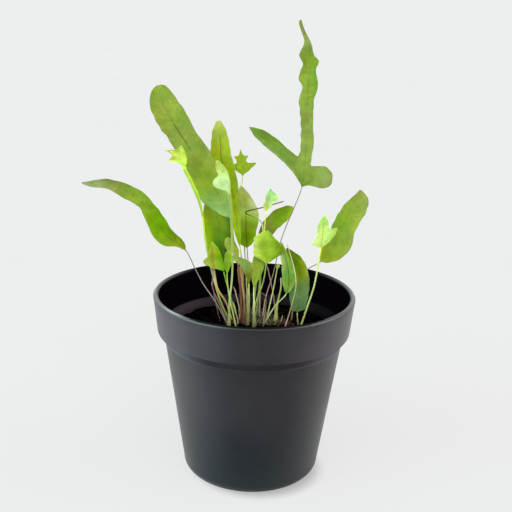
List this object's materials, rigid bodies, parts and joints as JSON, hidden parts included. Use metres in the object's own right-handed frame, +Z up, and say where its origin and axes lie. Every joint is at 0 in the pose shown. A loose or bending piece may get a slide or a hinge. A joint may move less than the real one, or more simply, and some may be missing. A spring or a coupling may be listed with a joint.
{
  "type": "potted fern",
  "caption": "Young fern with slender stalks and broad strap and lobed fronds rising from a creeping rhizome in a dark tapered plastic pot with a deep rim band.",
  "frame": {"origin": "centre of the pot's underside", "axes": "+Z up along the pot's axis, -Y towards the side the picture shows, +X to its right"},
  "size_m": [0.1902, 0.14, 0.3177],
  "materials": {
    "pot": "matte moulded plastic",
    "soil": "crumbly, rough",
    "rhizome": "golden scales, rough",
    "blade_mid": "satin",
    "blade_soft": "satin",
    "blade_olive": "satin",
    "blade_deep": "satin",
    "blade_mint": "satin",
    "blade_bright": "satin",
    "blade_blue_green": "satin",
    "stalk_young": "satin",
    "stalk_brown": "satin",
    "stalk_pinkish": "satin",
    "stalk_dead": "dry, matte",
    "stalk_twig": "dry, matte"
  },
  "bodies": {
    "root": {"pot": "pot", "soil": "soil", "rhizome": "rhizome", "frond_strap_left": "blade_mid", "frond_strap_low": "blade_mid", "stipe_strap_low": "stalk_pinkish", "frond_olive": "blade_olive", "frond_broad_back": "blade_deep", "frond_centre_back": "blade_deep", "stipe_centre_back": "stalk_brown", "frond_right_centre": "blade_mid", "frond_yellow_broad": "blade_bright", "frond_blue_right": "blade_blue_green", "frond_dark_right": "blade_deep", "frond_strap_right": "blade_mid", "stipe_strap_right": "stalk_brown", "frond_low_narrow": "blade_bright", "frond_hanging_grey": "blade_soft", "frond_hanging_olive": "blade_olive", "frond_grey_small": "blade_soft", "frond_bud": "blade_bright", "frond_star": "blade_olive", "frond_mint_front": "blade_mint", "frond_bright_left": "blade_bright", "frond_mint_small": "blade_mint", "frond_low_lobed": "blade_bright", "stipe_low_lobed": "stalk_pinkish", "frond_bright_right": "blade_bright", "frond_tall_lobed": "blade_mid", "stipe_tall_lobed": "stalk_brown", "stalk_dry_bent": "stalk_twig", "stalk_dead_front": "stalk_dead", "stalk_dead_back": "stalk_dead", "stalk_dead_yellow": "stalk_young", "stalk_bare_right": "stalk_young", "stalk_broken": "stalk_young", "stalk_back": "stalk_pinkish", "crozier": "stalk_young"}
  },
  "joints": []
}
